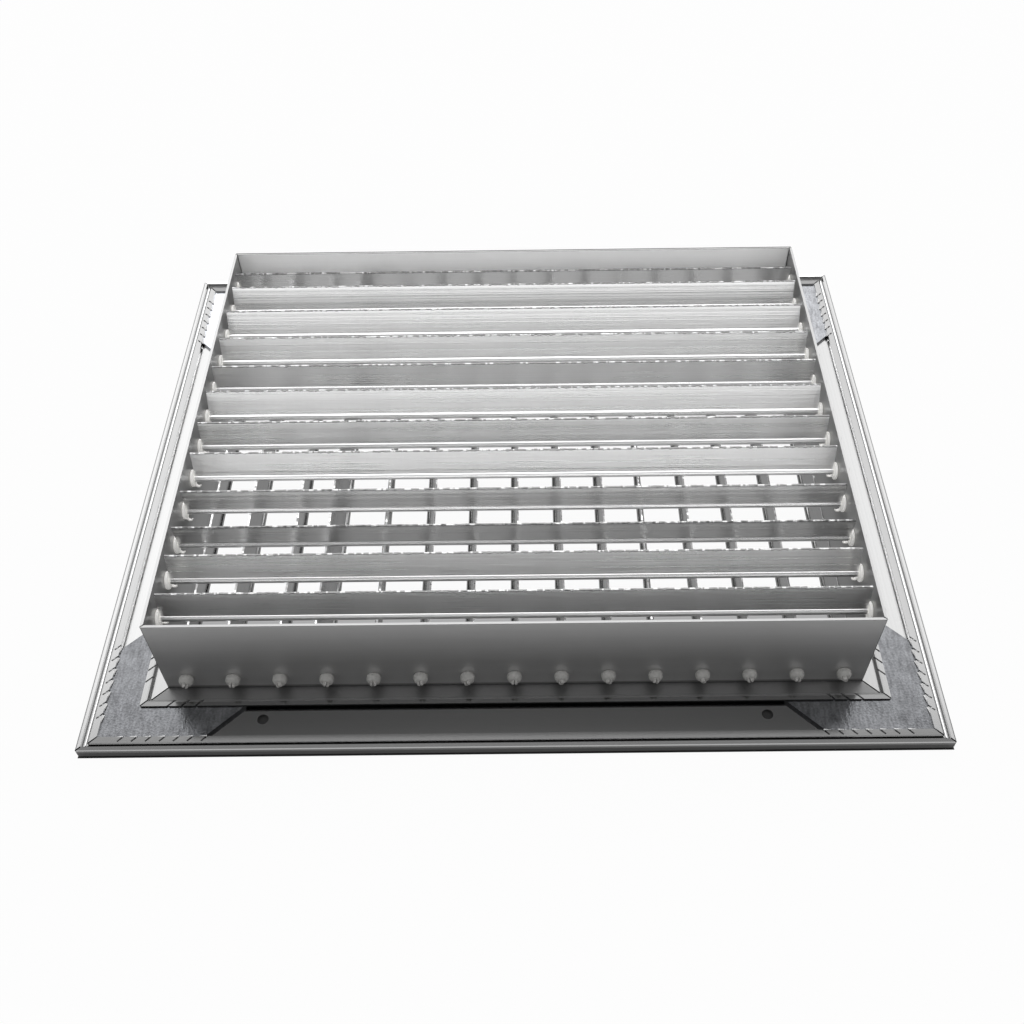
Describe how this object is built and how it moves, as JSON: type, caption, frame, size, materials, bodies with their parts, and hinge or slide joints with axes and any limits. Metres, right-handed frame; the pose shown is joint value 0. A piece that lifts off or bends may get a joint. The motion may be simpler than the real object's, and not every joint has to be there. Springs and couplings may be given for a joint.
{
  "type": "double deflection supply grille",
  "caption": "Rectangular supply air grille with a mitred aluminium flange and neck, and two crossed rows of separately tilting blades on nylon pivots.",
  "frame": {"origin": "under the middle of the room face of the flange, which lies on Z = 0", "axes": "+Z towards the duct, out of the back of the grille; +X along the long side, along the rear blades; +Y along the short side, along the front blades"},
  "size_m": [0.364, 0.312, 0.0483],
  "materials": {
    "frame_aluminium": "mill finish extrusion, satin, with fine lines along its length",
    "corner_casting": "rough grey casting",
    "blade_aluminium": "mill finish extrusion, satin, with fine lines along its length",
    "pivot_nylon": "natural white nylon, slightly translucent"
  },
  "bodies": {
    "frame": {"frame_side_near": "frame_aluminium", "frame_side_far": "frame_aluminium", "frame_side_left": "frame_aluminium", "frame_side_right": "frame_aluminium", "corner_plate_near_left": "corner_casting", "corner_plate_near_right": "corner_casting", "corner_plate_far_left": "corner_casting", "corner_plate_far_right": "corner_casting", "rear_pivots_left": "pivot_nylon", "rear_pivots_right": "pivot_nylon", "front_pivots_near": "pivot_nylon", "front_pivots_far": "pivot_nylon"},
    "rear_blade_01": {"rear_blade_01": "blade_aluminium"},
    "rear_blade_02": {"rear_blade_02": "blade_aluminium"},
    "rear_blade_03": {"rear_blade_03": "blade_aluminium"},
    "rear_blade_04": {"rear_blade_04": "blade_aluminium"},
    "rear_blade_05": {"rear_blade_05": "blade_aluminium"},
    "rear_blade_06": {"rear_blade_06": "blade_aluminium"},
    "rear_blade_07": {"rear_blade_07": "blade_aluminium"},
    "rear_blade_08": {"rear_blade_08": "blade_aluminium"},
    "rear_blade_09": {"rear_blade_09": "blade_aluminium"},
    "rear_blade_10": {"rear_blade_10": "blade_aluminium"},
    "rear_blade_11": {"rear_blade_11": "blade_aluminium"},
    "rear_blade_12": {"rear_blade_12": "blade_aluminium"},
    "front_blade_01": {"front_blade_01": "blade_aluminium"},
    "front_blade_02": {"front_blade_02": "blade_aluminium"},
    "front_blade_03": {"front_blade_03": "blade_aluminium"},
    "front_blade_04": {"front_blade_04": "blade_aluminium"},
    "front_blade_05": {"front_blade_05": "blade_aluminium"},
    "front_blade_06": {"front_blade_06": "blade_aluminium"},
    "front_blade_07": {"front_blade_07": "blade_aluminium"},
    "front_blade_08": {"front_blade_08": "blade_aluminium"},
    "front_blade_09": {"front_blade_09": "blade_aluminium"},
    "front_blade_10": {"front_blade_10": "blade_aluminium"},
    "front_blade_11": {"front_blade_11": "blade_aluminium"},
    "front_blade_12": {"front_blade_12": "blade_aluminium"},
    "front_blade_13": {"front_blade_13": "blade_aluminium"},
    "front_blade_14": {"front_blade_14": "blade_aluminium"},
    "front_blade_15": {"front_blade_15": "blade_aluminium"}
  },
  "joints": [
    {"name": "rear_blade_01_tilt", "type": "hinge", "parent": "frame", "child": "rear_blade_01", "pos_m": [0, 0.11, 0.0347], "axis": [-1, 0, 0], "range_deg": [-27, 63]},
    {"name": "rear_blade_02_tilt", "type": "hinge", "parent": "frame", "child": "rear_blade_02", "pos_m": [0, 0.09, 0.0347], "axis": [-1, 0, 0], "range_deg": [-67, 23]},
    {"name": "rear_blade_03_tilt", "type": "hinge", "parent": "frame", "child": "rear_blade_03", "pos_m": [0, 0.07, 0.0347], "axis": [-1, 0, 0], "range_deg": [-71, 19]},
    {"name": "rear_blade_04_tilt", "type": "hinge", "parent": "frame", "child": "rear_blade_04", "pos_m": [0, 0.05, 0.0347], "axis": [-1, 0, 0], "range_deg": [-61, 29]},
    {"name": "rear_blade_05_tilt", "type": "hinge", "parent": "frame", "child": "rear_blade_05", "pos_m": [0, 0.03, 0.0347], "axis": [-1, 0, 0], "range_deg": [-54, 36]},
    {"name": "rear_blade_06_tilt", "type": "hinge", "parent": "frame", "child": "rear_blade_06", "pos_m": [0, 0.01, 0.0347], "axis": [-1, 0, 0], "range_deg": [-69, 21]},
    {"name": "rear_blade_07_tilt", "type": "hinge", "parent": "frame", "child": "rear_blade_07", "pos_m": [0, -0.01, 0.0347], "axis": [-1, 0, 0], "range_deg": [-58, 32]},
    {"name": "rear_blade_08_tilt", "type": "hinge", "parent": "frame", "child": "rear_blade_08", "pos_m": [0, -0.03, 0.0347], "axis": [-1, 0, 0], "range_deg": [-59, 31]},
    {"name": "rear_blade_09_tilt", "type": "hinge", "parent": "frame", "child": "rear_blade_09", "pos_m": [0, -0.05, 0.0347], "axis": [-1, 0, 0], "range_deg": [-42, 48]},
    {"name": "rear_blade_10_tilt", "type": "hinge", "parent": "frame", "child": "rear_blade_10", "pos_m": [0, -0.07, 0.0347], "axis": [-1, 0, 0], "range_deg": [-38, 52]},
    {"name": "rear_blade_11_tilt", "type": "hinge", "parent": "frame", "child": "rear_blade_11", "pos_m": [0, -0.09, 0.0347], "axis": [-1, 0, 0], "range_deg": [-58, 32]},
    {"name": "rear_blade_12_tilt", "type": "hinge", "parent": "frame", "child": "rear_blade_12", "pos_m": [0, -0.11, 0.0347], "axis": [-1, 0, 0], "range_deg": [-56, 34]},
    {"name": "front_blade_01_tilt", "type": "hinge", "parent": "frame", "child": "front_blade_01", "pos_m": [-0.14, 0, 0.0105], "axis": [0, 1, 0], "range_deg": [-35, 43]},
    {"name": "front_blade_02_tilt", "type": "hinge", "parent": "frame", "child": "front_blade_02", "pos_m": [-0.12, 0, 0.0105], "axis": [0, 1, 0], "range_deg": [-36, 54]},
    {"name": "front_blade_03_tilt", "type": "hinge", "parent": "frame", "child": "front_blade_03", "pos_m": [-0.1, 0, 0.0105], "axis": [0, 1, 0], "range_deg": [-46, 44]},
    {"name": "front_blade_04_tilt", "type": "hinge", "parent": "frame", "child": "front_blade_04", "pos_m": [-0.08, 0, 0.0105], "axis": [0, 1, 0], "range_deg": [-23, 67]},
    {"name": "front_blade_05_tilt", "type": "hinge", "parent": "frame", "child": "front_blade_05", "pos_m": [-0.06, 0, 0.0105], "axis": [0, 1, 0], "range_deg": [-51, 39]},
    {"name": "front_blade_06_tilt", "type": "hinge", "parent": "frame", "child": "front_blade_06", "pos_m": [-0.04, 0, 0.0105], "axis": [0, 1, 0], "range_deg": [-60, 30]},
    {"name": "front_blade_07_tilt", "type": "hinge", "parent": "frame", "child": "front_blade_07", "pos_m": [-0.02, 0, 0.0105], "axis": [0, 1, 0], "range_deg": [-57, 33]},
    {"name": "front_blade_08_tilt", "type": "hinge", "parent": "frame", "child": "front_blade_08", "pos_m": [0, 0, 0.0105], "axis": [0, 1, 0], "range_deg": [-53, 37]},
    {"name": "front_blade_09_tilt", "type": "hinge", "parent": "frame", "child": "front_blade_09", "pos_m": [0.02, 0, 0.0105], "axis": [0, 1, 0], "range_deg": [-53, 37]},
    {"name": "front_blade_10_tilt", "type": "hinge", "parent": "frame", "child": "front_blade_10", "pos_m": [0.04, 0, 0.0105], "axis": [0, 1, 0], "range_deg": [-51, 39]},
    {"name": "front_blade_11_tilt", "type": "hinge", "parent": "frame", "child": "front_blade_11", "pos_m": [0.06, 0, 0.0105], "axis": [0, 1, 0], "range_deg": [-40, 50]},
    {"name": "front_blade_12_tilt", "type": "hinge", "parent": "frame", "child": "front_blade_12", "pos_m": [0.08, 0, 0.0105], "axis": [0, 1, 0], "range_deg": [-45, 45]},
    {"name": "front_blade_13_tilt", "type": "hinge", "parent": "frame", "child": "front_blade_13", "pos_m": [0.1, 0, 0.0105], "axis": [0, 1, 0], "range_deg": [-45, 45]},
    {"name": "front_blade_14_tilt", "type": "hinge", "parent": "frame", "child": "front_blade_14", "pos_m": [0.12, 0, 0.0105], "axis": [0, 1, 0], "range_deg": [-46, 44]},
    {"name": "front_blade_15_tilt", "type": "hinge", "parent": "frame", "child": "front_blade_15", "pos_m": [0.14, 0, 0.0105], "axis": [0, 1, 0], "range_deg": [-53, 25]}
  ]
}
